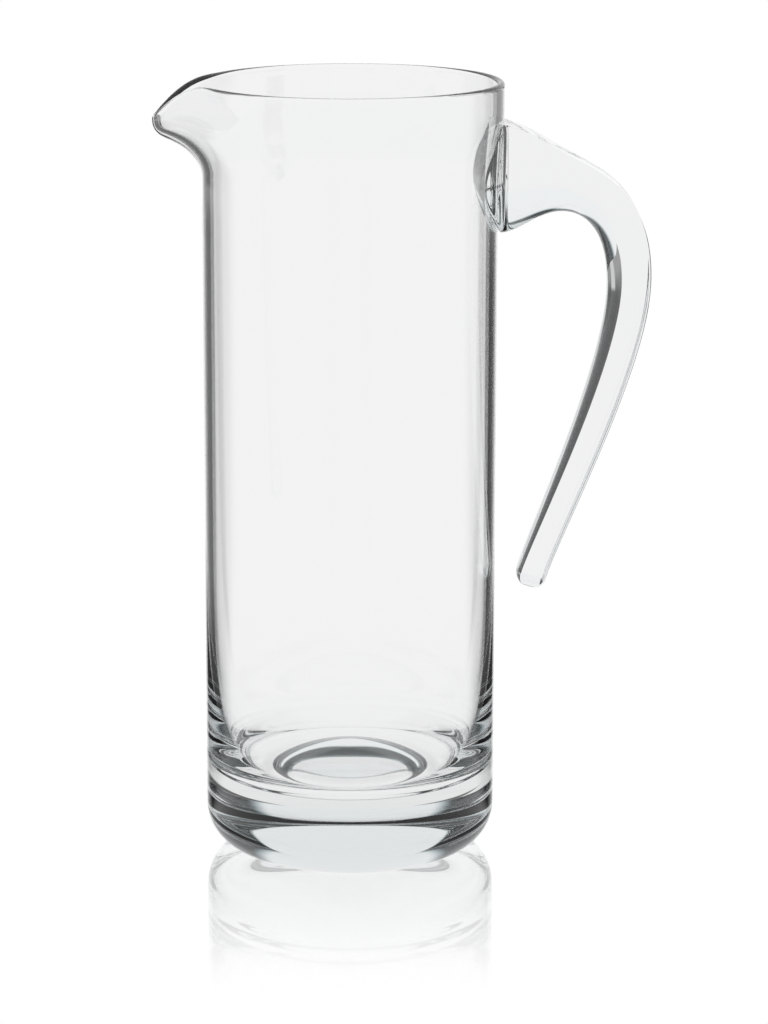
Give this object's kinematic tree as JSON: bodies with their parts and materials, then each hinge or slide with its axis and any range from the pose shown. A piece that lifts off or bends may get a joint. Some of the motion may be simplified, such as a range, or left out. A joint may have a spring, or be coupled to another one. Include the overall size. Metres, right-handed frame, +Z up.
{
  "type": "water pitcher",
  "caption": "Tall straight-sided clear glass jug with a heavy rounded base, a pulled pouring lip and a solid open-ended handle, for serving water.",
  "frame": {"origin": "on the axis of the body, at the level of the table that the base stands on", "axes": "+Z up along the body, +X towards the handle, so the lip points along -X, and +Y across the handle"},
  "size_m": [0.155, 0.0956, 0.2459],
  "materials": {
    "clear_glass": "clear, fire-polished"
  },
  "bodies": {
    "root": {"vessel": "clear_glass", "handle": "clear_glass"}
  },
  "joints": []
}
